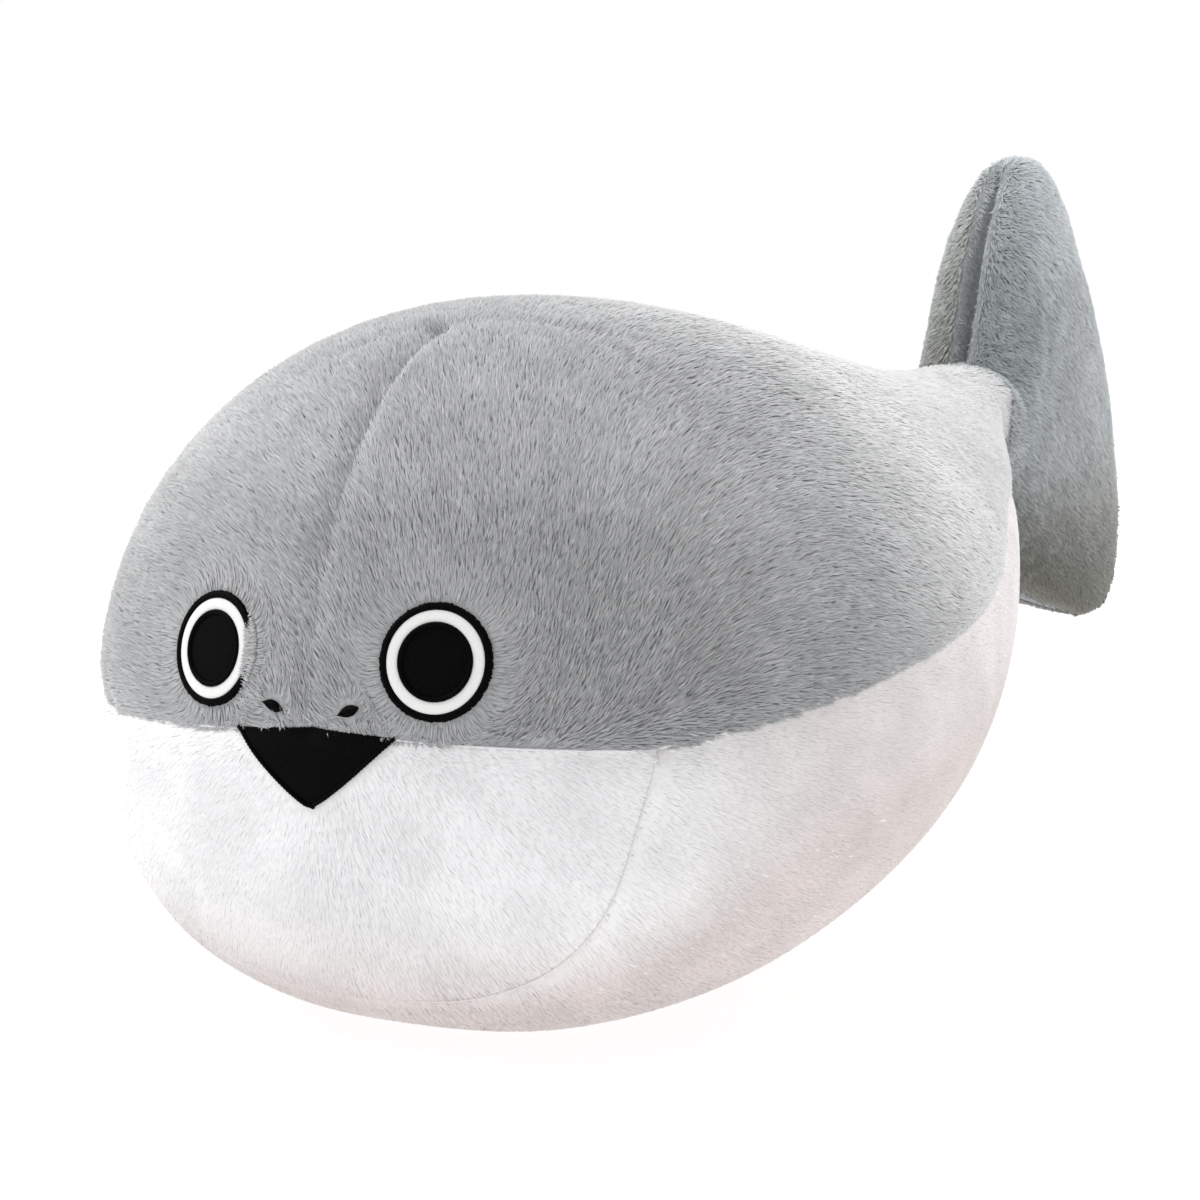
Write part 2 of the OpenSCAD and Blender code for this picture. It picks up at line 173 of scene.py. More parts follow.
def side_turn(angle):
    """Turn of the colour seam along the left side."""
    y = -HALF_LENGTH * np.cos(np.radians(angle))
    return (RISE_SIDE + (RISE_REAR - RISE_SIDE) * logistic((y + 5) / 12)
            - REAR_DROP * (np.maximum(0, y - 45) / 153) ** 1.25)


JUNCTION = direction(JUNCTION_ANGLE, RISE_SIDE)
JUNCTION_SIDE = math.degrees(math.atan2(JUNCTION[0], -JUNCTION[1]))
JUNCTION_RISE = math.degrees(math.asin(JUNCTION[2]))


def front_rise(side):
    """Height in degrees of the colour seam in front, at a number of degrees to the side."""
    return RISE_NOSE + (JUNCTION_RISE - RISE_NOSE) * np.abs(side) / JUNCTION_SIDE


def facing(side, rise):
    s, r = np.radians(side), np.radians(rise)
    return np.stack([np.sin(s) * np.cos(r), -np.cos(s) * np.cos(r), np.sin(r)], -1)


def nose_line(v):
    return facing(v * JUNCTION_SIDE, front_rise(v * JUNCTION_SIDE))


def side_of(turn):
    """Turn of the matching place on the left half."""
    return np.where(turn > 90, 180 - turn, np.where(turn < -90, -180 - turn, turn))


def crown_line(turn):
    """Angle of the crown seam, which goes on round the chin."""
    t = side_of(turn)
    climb = CROWN_ANGLE - CROWN_PEAK - JUNCTION_ANGLE
    top = (JUNCTION_ANGLE + climb * (t - RISE_SIDE) / (90 - RISE_SIDE)
           + CROWN_PEAK * np.exp(-((90 - t) / 12) ** 2))
    low = CHIN_ANGLE + (JUNCTION_ANGLE - CHIN_ANGLE) * np.exp(np.minimum(t - RISE_SIDE, 0) / 15)
    return np.where(t > RISE_SIDE, top, low)


def mix(a, b, t):
    return a * (1 - t) + b * t


def crown_direction(turn):
    return direction(crown_line(turn), turn)


def forehead_direction(t):
    return unit(mix(nose_line(np.array(0.0)), crown_direction(np.array(90.0)), t[:, None]))


def flip(p):
    return p * np.array([-1.0, 1.0, 1.0])


# ---- The sewn skin: the body with seam grooves, gathers and soft unevenness ----

A_STEPS, T_STEPS = 430, 720
A_FIRST, A_LAST = 0.4, 162.6
GRID_A = np.linspace(A_FIRST, A_LAST, A_STEPS)
GRID_T = np.arange(T_STEPS) * 360 / T_STEPS - 180


def dent(points, line, depth, width, strength=1.0):
    """Depth at each point of a groove along a line, where strength may vary along it."""
    out = np.zeros(len(points))
    lo, hi = line.min(0) - 3 * width, line.max(0) + 3 * width
    near = np.where(((points > lo) & (points < hi)).all(1))[0]
    for part in np.array_split(near, max(1, len(near) // 20000)):
        d2 = ((points[part][:, None, :] - line[None]) ** 2).sum(-1)
        i = d2.argmin(1)
        s = np.broadcast_to(strength, len(line))[i]
        out[part] = depth * s * np.exp(-(np.sqrt(d2[np.arange(len(part)), i]) / width) ** 1.5)
    return out


def seam_grooves():
    """Grooves of the seams: (line, depth, width, strength along the line)."""
    t = np.linspace(0, 1, 90)
    forehead = body_point(forehead_direction(t))
    turn = np.linspace(-180, 180, 420)
    crown = body_point(crown_direction(turn))
    rear_angle = np.linspace(JUNCTION_ANGLE, A_LAST, 220)
    rear = body_point(direction(rear_angle, side_turn(rear_angle)))
    nose = body_point(nose_line(np.linspace(-1, 1, 90)))
    return [(forehead, 2.8, 3.4, 0.3 + 0.7 * smooth((t - 0.1) / 0.6)),
            (crown, 1.0, 3.2, 0.2 + 0.5 * np.exp(-((turn - 90) / 14) ** 2)),
            *((colour, 1.5, 4.0, 1.0) for colour in (rear, flip(rear), nose))]


def creases():
    """Gathers that run back and down from the crown on the left, in the same form."""
    found = []
    for turns, angles, depth in (((84, 60), (50, 56), 0.8), ((75, 50), (52, 50), 0.6),
                                 ((80, 66), (44, 34), 0.9), ((72, 66), (58, 66), 0.6)):
        t = np.linspace(0, 1, 30)
        line = body_point(direction(mix(angles[0], angles[1], t), mix(turns[0], turns[1], t)))
        fade = np.sin(np.pi * np.clip(t * 0.9 + 0.1, 0, 1))
        found.append((line, depth, 3.2, fade))
    return found


def lumps(p):
    """Soft unevenness of the stuffing."""
    x, y, z = p.T / 100
    return (np.sin(2.3 * x + 1.9 * y + 0.4) * np.cos(2.1 * z - 1.3 * y)
            + 0.6 * np.sin(4.1 * y + 3.2 * z + 1.0) * np.cos(3.7 * x))


def build_skin():
    d = direction(GRID_A[:, None], GRID_T[None, :]).reshape(-1, 3)
    surface = body_point(d)
    depth = np.full(len(d), PILE_ROOM)
    for groove in seam_grooves() + creases():
        depth += dent(surface, *groove)
    crown = body_point(crown_direction(np.array(90.0)))[None]
    depth += dent(surface, crown, 1.0, 6.0)
    depth += 0.35 * (1 + lumps(surface)) * smooth((surface[:, 2] + 95) / 30)
    for eye in (1, -1):
        centre = body_point(direction(EYE_POLE, EYE_TURN)) * (eye, 1, 1)
        near = np.linalg.norm(surface - centre, axis=1)
        depth += 0.5 * np.exp(-(near / 20) ** 4)
    return body_point(d, depth).reshape(A_STEPS, T_STEPS, 3)


SKIN = build_skin()


def on_grid(field, angle, turn):
    """Bilinear value of a field of the skin's grid at angles in degrees."""
    i = np.clip((angle - A_FIRST) / (A_LAST - A_FIRST) * (A_STEPS - 1), 0, A_STEPS - 1.001)
    j = ((turn + 180) / 360 * T_STEPS) % T_STEPS
    i0, j0 = i.astype(int), j.astype(int) % T_STEPS
    u, v = (i - i0)[..., None], (j - np.floor(j))[..., None]
    j1 = (j0 + 1) % T_STEPS
    return ((field[i0, j0] * (1 - u) + field[i0 + 1, j0] * u) * (1 - v)
            + (field[i0, j1] * (1 - u) + field[i0 + 1, j1] * u) * v)


def tangents():
    """Rearward and outward unit vectors of the skin at each point of its grid."""
    rearward = unit(np.gradient(SKIN, axis=0))
    around = unit(np.roll(SKIN, -1, 1) - np.roll(SKIN, 1, 1))
    normal = unit(np.cross(around, rearward))
    out = direction(GRID_A[:, None], GRID_T[None, :])
    normal *= np.sign(dot(normal, out))[..., None]
    return rearward, normal


SKIN_REAR, SKIN_NORMAL = tangents()


def skin(d, lift=0.0):
    """Points of the sewn skin in the given directions, lifted along its normals."""
    angle, turn = angles_of(d)
    p = on_grid(SKIN, angle, turn)
    return p + unit(on_grid(SKIN_NORMAL, angle, turn)) * np.asarray(lift)[..., None]


# ---- Meshes and pieces ----

def to_row(points):
    return (points + PLACE) * MM


def new_object(name, points, faces, material, values=None, normals=None):
    """Mesh from points in the spine frame and one array of faces, all of the same size."""
    mesh = bpy.data.meshes.new(name)
    faces = np.asarray(faces, np.int32)
    count, size = faces.shape
    mesh.vertices.add(len(points))
    mesh.vertices.foreach_set("co", to_row(points).astype(np.float32).ravel())
    mesh.loops.add(count * size)
    mesh.loops.foreach_set("vertex_index", faces.ravel())
    mesh.polygons.add(count)
    mesh.polygons.foreach_set("loop_start", np.arange(count, dtype=np.int32) * size)
    mesh.polygons.foreach_set("use_smooth", np.ones(count, bool))
    mesh.update(calc_edges=True)
    for key, value in (values or {}).items():
        mesh.attributes.new(key, "FLOAT", "POINT").data.foreach_set("value", value.astype(np.float32))
    if normals is not None:
        soft = mesh.attributes.new("custom_normal", "FLOAT_VECTOR", "POINT")
        soft.data.foreach_set("vector", normals.astype(np.float32).ravel())
    mesh.materials.append(material)
    obj = bpy.data.objects.new(name, mesh)
    bpy.context.collection.objects.link(obj)
    return obj


def grid_faces(rows, cols, wrap=False):
    i, j = np.meshgrid(np.arange(rows - 1), np.arange(cols if wrap else cols - 1), indexing="ij")
    a = (i * cols + j).ravel()
    b = (i * cols + (j + 1) % cols).ravel()
    return np.stack([a, b, b + cols, a + cols], 1)


def shell(outer, inner):
    """Points and quads of a closed shell between two grids of the same shape."""
    rows, cols = outer.shape[:2]
    n = rows * cols
    skin_faces = grid_faces(rows, cols)
    a, b = np.arange(cols - 1), np.arange(cols - 1) + (rows - 1) * cols
    c, d = np.arange(rows - 1) * cols, np.arange(rows - 1) * cols + cols - 1
    rim = [np.stack([a + 1, a, a + n, a + 1 + n], 1), np.stack([b, b + 1, b + 1 + n, b + n], 1),
           np.stack([c, c + cols, c + cols + n, c + n], 1),
           np.stack([d + cols, d, d + n, d + cols + n], 1)]
    points = np.concatenate([outer.reshape(-1, 3), inner.reshape(-1, 3)])
    return points, np.concatenate([skin_faces, skin_faces[:, ::-1] + n] + rim)


def piece(obj, body, nodes):
    """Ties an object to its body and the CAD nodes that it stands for."""
    if body == "cuff":
        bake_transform(obj)
    else:
        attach(obj, body)
    if nodes:
        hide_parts(*nodes)
    return obj


# ---- Materials ----

def node(tree, kind, **values):
    n = tree.nodes.new(kind)
    for key, value in values.items():
        if hasattr(n, key):
            setattr(n, key, value)
        else:
            n.inputs[key].default_value = value
    return n


def link(tree, *pairs):
    for output, socket in pairs:
        tree.links.new(output, socket)


def base_material(name, roughness, sheen, specular, sheen_roughness=0.5):
    mat = bpy.data.materials.new(name)
    mat.use_nodes = True
    shader = mat.node_tree.nodes["Principled BSDF"]
    for key, value in (("Roughness", roughness), ("Specular IOR Level", specular),
                       ("Sheen Weight", sheen), ("Sheen Roughness", sheen_roughness)):
        shader.inputs[key].default_value = value
    return mat, mat.node_tree, shader


def ramp(tree, low, high, start=0.0, end=1.0):
    r = tree.nodes.new("ShaderNodeValToRGB")
    for stop, place, colour in zip(r.color_ramp.elements, (start, end), (low, high)):
        stop.position = place
        stop.color = (*colour, 1)
    return r


def pile_material(name, dark, light, tint, sheen):
    """Tufts: dark at the root (painted shade between the tufts), light at the tip, in slow patches, and
    multiplied by a tint colour as far as a second attribute says; on the white and the tail that tint
    is painted shade.
    """
    mat, tree, shader = base_material(name, 0.8, sheen, 0.2, 0.4)
    tone = node(tree, "ShaderNodeAttribute", attribute_name="tone")
    tint_and_shade = node(tree, "ShaderNodeAttribute", attribute_name="tint_and_shade")
    colours = ramp(tree, dark, light)
    place = tree.nodes.new("ShaderNodeNewGeometry")
    cloud = node(tree, "ShaderNodeTexNoise", Scale=45.0, Detail=4.0)
    shades = ramp(tree, (0.9,) * 3, (1, 1, 1), 0.38, 0.62)
    patches = node(tree, "ShaderNodeMix", data_type="RGBA", blend_type="MULTIPLY")
    # Painted shade: the tint colour darkens the tufts as far as the second attribute says.
    tinted = node(tree, "ShaderNodeMix", data_type="RGBA", blend_type="MULTIPLY")
    patches.inputs[0].default_value = 1
    tinted.inputs[7].default_value = (*tint, 1)
    link(tree, (tone.outputs["Fac"], colours.inputs[0]),
         (place.outputs["Position"], cloud.inputs["Vector"]),
         (cloud.outputs["Fac"], shades.inputs[0]),
         (colours.outputs[0], patches.inputs[6]),
         (shades.outputs[0], patches.inputs[7]),
         (tint_and_shade.outputs["Fac"], tinted.inputs[0]),
         (patches.outputs[2], tinted.inputs[6]),
         (tinted.outputs[2], shader.inputs["Base Color"]))
    return mat


def grain_colours(tree, shader, scale, colours, strength, distance):
    """Fine noise that gives both the colour and the bump of a surface."""
    place = tree.nodes.new("ShaderNodeNewGeometry")
    grain = node(tree, "ShaderNodeTexNoise", Scale=scale, Detail=2.0)
    bump = node(tree, "ShaderNodeBump", Strength=strength, Distance=distance)
    link(tree, (place.outputs["Position"], grain.inputs["Vector"]),
         (grain.outputs["Fac"], colours.inputs[0]),
         (colours.outputs[0], shader.inputs["Base Color"]),
         (grain.outputs["Fac"], bump.inputs["Height"]),
         (bump.outputs[0], shader.inputs["Normal"]))


def cloth_material(name, low, high, scale=900.0):
    """Knitted backing between the tufts."""
    mat, tree, shader = base_material(name, 0.9, 0.2, 0.2)
    grain_colours(tree, shader, scale, ramp(tree, low, high, 0.35, 0.65), 0.5, 0.0004)
    return mat


def stitch_material(name, low, high, roughness, specular):
    """Satin embroidery thread; its fine lines come from the mesh."""
    mat, tree, shader = base_material(name, roughness, 0.0, specular)
    grain_colours(tree, shader, 1500.0, ramp(tree, low, high, 0.3, 0.7), 0.25, 0.0002)
    return mat


# The last colour of each pile is its tint: faint and yellowish on the grey, and painted shade on the
# white (pinkish under the belly) and on the tail (brownish low on the fin).
GREY_PILE = pile_material("grey_pile_tufts", (0.22, 0.225, 0.235), (0.88, 0.885, 0.89),
                          (1.0, 0.99, 0.97), 0.7)
WHITE_PILE = pile_material("white_pile_tufts", (0.89, 0.89, 0.905), (0.94, 0.94, 0.955),
                           (0.80, 0.72, 0.69), 0.3)
TAIL_PILE = pile_material("tail_pile_tufts", (0.08, 0.09, 0.095), (0.56, 0.60, 0.62),
                          (0.78, 0.68, 0.48), 0.45)
# The backings are darker than the tips of their pile: painted shade in the gaps between the tufts.
GREY_CLOTH = cloth_material("grey_backing", (0.32, 0.33, 0.335), (0.42, 0.43, 0.435))
WHITE_CLOTH = cloth_material("white_backing", (0.79, 0.77, 0.77), (0.85, 0.83, 0.83))
TAIL_CLOTH = cloth_material("tail_backing", (0.20, 0.215, 0.22), (0.30, 0.32, 0.33))
FILL = cloth_material("fibre_filling", (0.80, 0.80, 0.80), (0.92, 0.92, 0.92), 250.0)
GREY_THREAD = stitch_material("grey_thread", (0.22, 0.23, 0.24), (0.32, 0.33, 0.34), 0.7, 0.2)
PALE_THREAD = stitch_material("pale_thread", (0.72, 0.68, 0.67), (0.80, 0.77, 0.76), 0.7, 0.2)
WHITE_THREAD = stitch_material("white_thread", (0.70, 0.69, 0.71), (0.82, 0.82, 0.84), 0.7, 0.3)
BLACK_STITCH = stitch_material("black_satin", (0.001, 0.001, 0.001), (0.003, 0.003, 0.0035), 0.6, 0.03)
WHITE_STITCH = stitch_material("white_satin", (0.82, 0.82, 0.81), (0.87, 0.87, 0.86), 0.6, 0.3)


# ---- Camera, lights and floor ----

CAMERA_AZIMUTH, CAMERA_ELEVATION, CAMERA_ROLL = 31.0, 8.0, -1.918
CAMERA_DISTANCE, CAMERA_LENS = 960.0, 95.0
CAMERA_TARGET = np.array([0.0, -55.25, 1.42])
FLOOR_REACH = 30  # metres to each side, so that the floor's edge is out of view


def make_camera():
    az, el, roll = (math.radians(v) for v in (CAMERA_AZIMUTH, CAMERA_ELEVATION, CAMERA_ROLL))
    back = np.array([math.sin(az) * math.cos(el), -math.cos(az) * math.cos(el), math.sin(el)])
    level = np.array([math.cos(az), math.sin(az), 0])
    rise = np.cross(back, level)
    right = level * math.cos(roll) + rise * math.sin(roll)
    up = rise * math.cos(roll) - level * math.sin(roll)
    data = bpy.data.cameras.new("camera")
    data.lens, data.sensor_width = CAMERA_LENS, 36
    camera = bpy.data.objects.new("camera", data)
    m = Matrix.Identity(4)
    for i, axis in enumerate((right, up, back)):
        for j in range(3):
            m[j][i] = axis[j]
    m.translation = Vector(to_row(CAMERA_TARGET + back * CAMERA_DISTANCE))
    camera.matrix_world = m
    bpy.context.collection.objects.link(camera)
    bpy.context.scene.camera = camera


def area_light(name, place, size, power):
    """Round lamp that faces the middle of the toy."""
    data = bpy.data.lights.new(name, "AREA")
    data.shape, data.size, data.energy = "DISK", size, power
    light = bpy.data.objects.new(name, data)
    light.location = place
    facing_toy = Vector((0, 0, 0.1)) - Vector(place)
    light.rotation_euler = facing_toy.to_track_quat("-Z", "Y").to_euler()
    bpy.context.collection.objects.link(light)


def make_world():
    """Soft light from all sides, in front of a background that the camera sees as white."""
    world = bpy.data.worlds.new("studio")
    bpy.context.scene.world = world
    world.use_nodes = True
    tree = world.node_tree
    lit, seen = tree.nodes["Background"], tree.nodes.new("ShaderNodeBackground")
    for background, strength in ((lit, 0.7), (seen, 1.0)):
        background.inputs[0].default_value = (1, 1, 1, 1)
        background.inputs[1].default_value = strength
    path, choose = tree.nodes.new("ShaderNodeLightPath"), tree.nodes.new("ShaderNodeMixShader")
    link(tree, (path.outputs["Is Camera Ray"], choose.inputs[0]),
         (lit.outputs[0], choose.inputs[1]), (seen.outputs[0], choose.inputs[2]),
         (choose.outputs[0], tree.nodes["World Output"].inputs[0]))


def make_stage():
    make_world()
    area_light("key_light", (-1.7, -0.7, 1.8), 1.4, 34)
    area_light("top_light", (0.4, 0.9, 2.1), 1.4, 33)
    mat, _, shader = base_material("floor", 0.9, 0, 0.1)
    shader.inputs["Base Color"].default_value = (0.35, 0.35, 0.35, 1)
    shader.inputs["Emission Color"].default_value = (1, 1, 1, 1)
    shader.inputs["Emission Strength"].default_value = 0.78
    corners = FLOOR_REACH * np.array([(-1, -1, 0), (1, -1, 0), (1, 1, 0), (-1, 1, 0)]) / MM - PLACE
    new_object("floor", corners, [[0, 1, 2, 3]], mat)
    bpy.context.scene.view_settings.view_transform = "Standard"


# ---- Cloth panels of the body ----

def unit_grid(rows, cols):
    return np.meshgrid(np.linspace(0, 1, rows), np.linspace(0, 1, cols), indexing="ij")


def cloth_panel(name, directions, material):
    """Sheet of cloth that stands for the CAD panel of the same part of the body."""
    outer, inner = skin(directions), skin(directions, -BACKING)
    # A grid whose faces would point inwards is turned over
    if dot(np.cross(outer[1, 1] - outer[0, 1], outer[0, 1] - outer[0, 0]), outer[0, 0]) > 0:
        outer, inner = outer[::-1], inner[::-1]
    points, faces = shell(outer, inner)
    obj = new_object(name, points, faces, material)
    piece(obj, "body", [name.replace("cloth", "panel")])


def between(start, end, u):
    return unit(mix(start, end, u[..., None]))


def face_directions():
    i, j = unit_grid(90, 80)
    v = 0.999 * i
    return between(nose_line(v), crown_direction(mix(90, RISE_SIDE, v)), j)


def back_directions():
    i, j = unit_grid(170, 130)
    angle = mix(crown_line(mix(RISE_SIDE, 180 - RISE_SIDE, j)), END_ANGLE, i)
    low = side_turn(angle)
    return direction(angle, mix(low, 180 - low, j))


def chin_directions():
    i, j = unit_grid(150, 50)
    v = -0.999 + 1.998 * i
    turn = np.where(v < 0, mix(-90, RISE_SIDE, -v), mix(-90, -180 - RISE_SIDE, v))
    return between(nose_line(-v), crown_direction(turn), j)


def belly_directions():
    i, j = unit_grid(180, 150)
    angle = mix(crown_line(mix(RISE_SIDE, -180 - RISE_SIDE, j)), END_ANGLE, i)
    high = side_turn(angle)
    return direction(angle, mix(high, -180 - high, j))


def make_body_cloth():
    face = face_directions()
    for name, directions in (("face_cloth_left", face), ("face_cloth_right", flip(face)),
                             ("back_cloth", back_directions())):
        cloth_panel(name, directions, GREY_CLOTH)
    for name, directions in (("chin_cloth", chin_directions()), ("belly_cloth", belly_directions())):
        cloth_panel(name, directions, WHITE_CLOTH)
    angle, turn = np.linspace(1, END_ANGLE - 3.2, 90)[:, None], np.arange(0, 360, 5)[None, :]
    fill = body_point(direction(angle, turn), FILL_DEPTH).reshape(-1, 3)
    obj = new_object("body_fill", fill, grid_faces(90, 72, True), FILL)
    piece(obj, "body", ["body_stuffing"])


# ---- Pile: short tufts combed over the cloth ----

def wobble(p, wave):
    """Slow pseudo-random field from -1 to 1, with the given wavelength in millimetres."""
    x, y, z = (p / wave).T * 2 * math.pi
    return (np.sin(x + 1.7 * np.sin(0.7 * y) + 0.3) + np.sin(y * 1.1 + 1.3 * np.sin(0.9 * z) + 1.1)
            + np.sin(z * 0.9 + 1.5 * np.sin(0.8 * x) + 2.2)) / 3


def drift(p):
    """Places moved about slowly, so that a wobble over them doesn't repeat in rows."""
    return p + 9 * np.stack([wobble(p + 11, 43), wobble(p + 23, 57), wobble(p + 37, 49)], 1)


def tufts(name, root, along, normal, length, lift, width, tone, tint_and_shade, material):
    """Mesh of lens-shaped tufts with a raised crest, shaded softly like the cloth under them."""
    along = unit(along - dot(along, normal)[:, None] * normal)
    side = np.cross(normal, along)
    rise = np.radians(lift)[:, None]
    run = length[:, None] * (np.cos(rise) * along + np.sin(rise) * normal)
    waist = root + 0.45 * run - CREST * normal * width[:, None]
    half = 0.5 * width[:, None] * side
    tip = root + run - 0.12 * length[:, None] * np.sin(rise) * normal
    points = np.stack([root, waist + half, tip, waist - half], 1).reshape(-1, 3)
    base = np.arange(len(root))[:, None] * 4
    faces = np.concatenate([base + (0, 2, 1), base + (0, 3, 2)])
    soft = normal + RNG.normal(0, 0.07, (len(root), 3))
    normals = unit(np.stack([soft, soft + 0.3 * side, soft, soft - 0.3 * side], 1)).reshape(-1, 3)
    # Each tuft is painted darker at its root than at its tip: painted shade between the tufts.
    values = {"tone": np.stack([tone * 0.45, tone * 0.85, tone, tone * 0.85], 1).ravel(),
              "tint_and_shade": np.repeat(tint_and_shade, 4)}
    points[:, 2] = np.maximum(points[:, 2], 0.02 - FLOOR_DEPTH)  # just above the floor
    return new_object(name, points, faces, material, values, normals)


def comb_angle(angle, turn):
    """Lay of the grey pile on the body: degrees from rearward, positive towards the crown."""
    side = side_of(turn)
    fades_at = 38 + 0.22 * np.clip(side - 20, -20, 60)
    turns_at = 52 + 0.16 * np.clip(side - 20, -20, 60)
    front = 34 + 12 * np.exp(-((side - 30) / 14) ** 2 - ((angle - 26) / 7) ** 2)
    outward = smooth((90 - side) / 30)
    left = front * logistic((fades_at - angle) / 3) - 42 * outward * logistic((angle - turns_at) / 3.5)
    right = -38 * logistic((150 - turn) / 8) * smooth((angle - 4) / 14)
    above = smooth((side - side_turn(angle)) / 9)
    return np.where((turn > 90) & (angle < 56), right, left) * above - 14 * (1 - above)


EYES = {"left": direction(EYE_POLE, EYE_TURN), "right": flip(direction(EYE_POLE, EYE_TURN))}
NOSTRILS = {"left": direction(NOSTRIL_POLE, NOSTRIL_TURN),
            "right": flip(direction(NOSTRIL_POLE, NOSTRIL_TURN))}


def side_and_rise(d):
    """Degrees to the side and up from straight ahead, the inverse of facing."""
    return np.degrees(np.arctan2(d[:, 0], -d[:, 1])), np.degrees(np.arcsin(np.clip(d[:, 2], -1, 1)))


def is_grey(d, angle, turn):
    side, rise = side_and_rise(d)
    front = rise > front_rise(np.clip(side, -JUNCTION_SIDE, JUNCTION_SIDE))
    return np.where(angle < crown_line(turn), front, side_of(turn) > side_turn(angle))


def in_mouth(d, margin):
    side, rise = side_and_rise(d)
    across = np.clip(np.abs(side) / MOUTH_ANGLE, 0, 1)
    top = front_rise(side)
    low = top * across ** MOUTH_BOW
    return (np.abs(side) < MOUTH_ANGLE - margin) & (rise < top) & (rise > low + margin)


def scatter(count, first, last):
    """Even random directions over the body between two angles from the nose pole."""
    angle_edges = np.linspace(first, last, 200)
    turn_edges = np.linspace(-180, 180, 181)
    corners = body_point(direction(angle_edges[:, None], turn_edges[None, :]))
    u = corners[1:, :-1] - corners[:-1, :-1]
    v = corners[:-1, 1:] - corners[:-1, :-1]
    area = np.linalg.norm(np.cross(u, v), axis=-1).ravel()
    cell = RNG.choice(len(area), count, p=area / area.sum())
    i, j = cell // 180, cell % 180
    angle = angle_edges[i] + RNG.random(count) * (angle_edges[1] - angle_edges[0])
    turn = turn_edges[j] + RNG.random(count) * 2
    return angle, turn


def comb_round(root, along, centre, inner, reach):
    """Pile turned to lie away from a stitched patch, and each tuft's distance from its edge."""
    away = root - centre
    gap = np.linalg.norm(away, axis=1) - inner
    w = np.exp(-np.maximum(gap, 0) / reach)[:, None]
    return unit(along * (1 - w) + unit(away) * w), gap


def skin_normal(d):
    angle, turn = angles_of(d)
    return unit(on_grid(SKIN_NORMAL, angle, turn))


def body_lay(root, normal, angle, turn, grey, moved):
    """Direction in which each tuft lies: combed on the grey cloth, hanging back on the white."""
    n = len(root)
    rear = on_grid(SKIN_REAR, angle, turn)
    rear = unit(rear - dot(rear, normal)[:, None] * normal)
    up = np.cross(normal, rear) * np.where(np.abs(turn) > 90, -1, 1)[:, None]
    comb = np.radians(comb_angle(angle, turn) + 8 * wobble(moved, 19) + 9 * wobble(moved + 7, 6)
                      + RNG.normal(0, 6, n))[:, None]
    combed = unit(np.cos(comb) * rear + np.sin(comb) * up)
    falling = np.exp(-angle / 35)
    below = np.stack([0.5 * np.tanh(root[:, 0] / 12) * falling, np.ones(n), -0.15 - 0.6 * falling], 1)
    return np.where(grey[:, None], combed, below + RNG.normal(0, 0.10, (n, 3)))


def part_round_patches(root, along, grey):
    """Lay of the pile round the eyes and nostrils, how far it is pressed, and which tufts stay."""
    pressed = np.zeros(len(root))
    keep = np.ones(len(root), bool)
    for eye in EYES.values():
        combed, gap = comb_round(root, along, skin(eye), EYE_RIM_R, 6.5)
        along = np.where(grey[:, None], combed, along)
        keep &= gap > -0.8
        pressed = np.maximum(pressed, np.exp(-(np.maximum(gap, 0) / 8) ** 2))
    for nostril in NOSTRILS.values():
        along, gap = comb_round(root, along, skin(nostril), 2.2, 3.5)
        keep &= gap > 0.5
        pressed = np.maximum(pressed, 0.6 * np.exp(-(np.maximum(gap, 0) / 4) ** 2))
    return along, pressed, keep


def body_tuft_sizes(root, normal, angle, grey, pressed, moved):
    """Length, lift and width of each tuft: lower on the back, round the patches and under the belly."""
    n = len(root)
    smoother = smooth((angle - 55) / 30)
    length = np.where(grey, 4.3 - 0.8 * smoother, 3.8) * RNG.uniform(0.65, 1.2, n)
    standing = 17 - 5 * smoother - 8 * pressed + 4 * wobble(moved + 50, 13) + RNG.normal(0, 3, n)
    lift = np.clip(np.where(grey, standing, 4 + RNG.normal(0, 1, n)), 2, 32)
    near_floor = np.clip((root[:, 2] + FLOOR_DEPTH) / 6, 0.12, 1)
    lift *= np.where(normal[:, 2] < -0.7, near_floor, 1)
    width = np.where(grey, RNG.uniform(0.40, 0.66, n), RNG.uniform(0.6, 0.95, n))
    return length, lift, width * 1


def body_tones(normal, angle, grey, pressed, moved):
    """Lightness and tint of each tuft. The pile lies flatter towards the rear, and the grey is painted
    lighter there and where it faces up (painted light), and darker on the top of the head and again
    past the middle towards the tail (painted shade); the white is painted darker and pinker underneath
    and towards the rear (painted shade).
    """
    n = len(angle)
    spread = 0.10 * (1 - 0.5 * smooth((angle - 55) / 30)) * (1 - 0.5 * pressed)
    # Painted light and shade on the grey: lighter towards the rear and where the pile faces up, darker
    # on the top of the head and again past the middle towards the tail.
    top = smooth((normal[:, 2] - 0.6) / 0.3) * (1 - smooth((angle - 55) / 40))
    painted_rear_light = smooth((angle - 50) / 32) * (0.6 + 0.4 * smooth(normal[:, 2] / 0.5))
    tone = (0.34 + 0.60 * painted_rear_light - 0.22 * smooth((angle - 76) / 16)
            + 0.08 * smooth((normal[:, 2] - 0.1) / 0.6) - 0.14 * top + 0.07 * pressed
            + 0.04 * wobble(moved, 11) + 0.035 * wobble(moved + 3, 4)
            + RNG.normal(0, 0.85, n) * spread)
    tone = np.where(grey, tone, 0.75 + RNG.normal(0, 0.15, n))
    # Tint amount: faint and yellowish on the grey towards the rear; on the white, painted shade
    # underneath and towards the rear.
    behind = smooth((angle - 24) / 26)
    shaded = smooth((-normal[:, 2] - 0.15 + 0.25 * behind) / 0.75)
    tint_and_shade = np.where(grey, 0.5 * smooth((angle - 50) / 60), np.minimum(1, shaded + 0.6 * behind))
    return np.clip(tone, 0.05, 1), tint_and_shade


